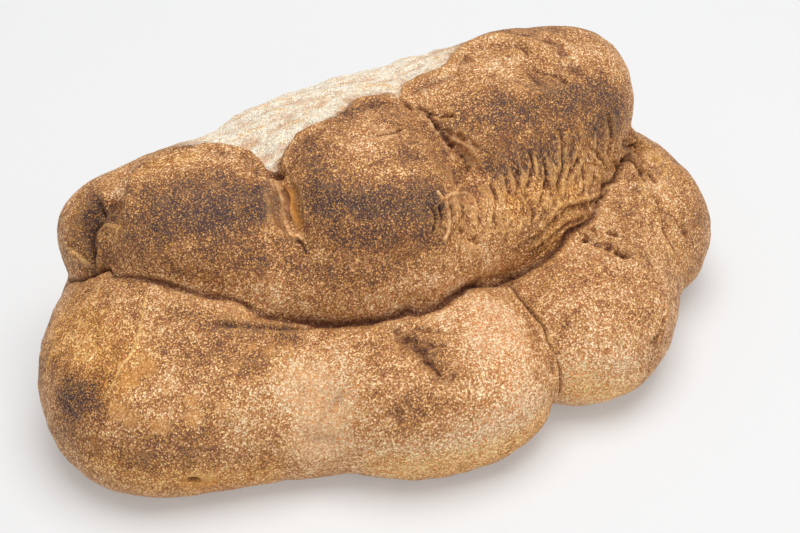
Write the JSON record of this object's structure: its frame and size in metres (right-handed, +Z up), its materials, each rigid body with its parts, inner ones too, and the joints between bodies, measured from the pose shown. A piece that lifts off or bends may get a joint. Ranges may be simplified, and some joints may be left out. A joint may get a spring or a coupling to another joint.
{
  "type": "folded country loaf",
  "caption": "Large rustic loaf of bread, baked in one piece from dough folded over itself: a wide lobed lower fold with a knuckled, cracked roll lying along it.",
  "frame": {"origin": "on the floor, in the middle of the loaf's footprint box", "axes": "+X along the loaf from the roll's small end towards the dough's rough end, -Y towards the open side of the fold, +Z up"},
  "size_m": [0.3414, 0.2034, 0.1171],
  "materials": {
    "crust": "baked bread crust: matt to faintly satin golden brown, darker on the knuckles, speckled with pale fine blisters and floury on the roll's back"
  },
  "bodies": {
    "root": {"loaf": "crust"}
  },
  "joints": []
}
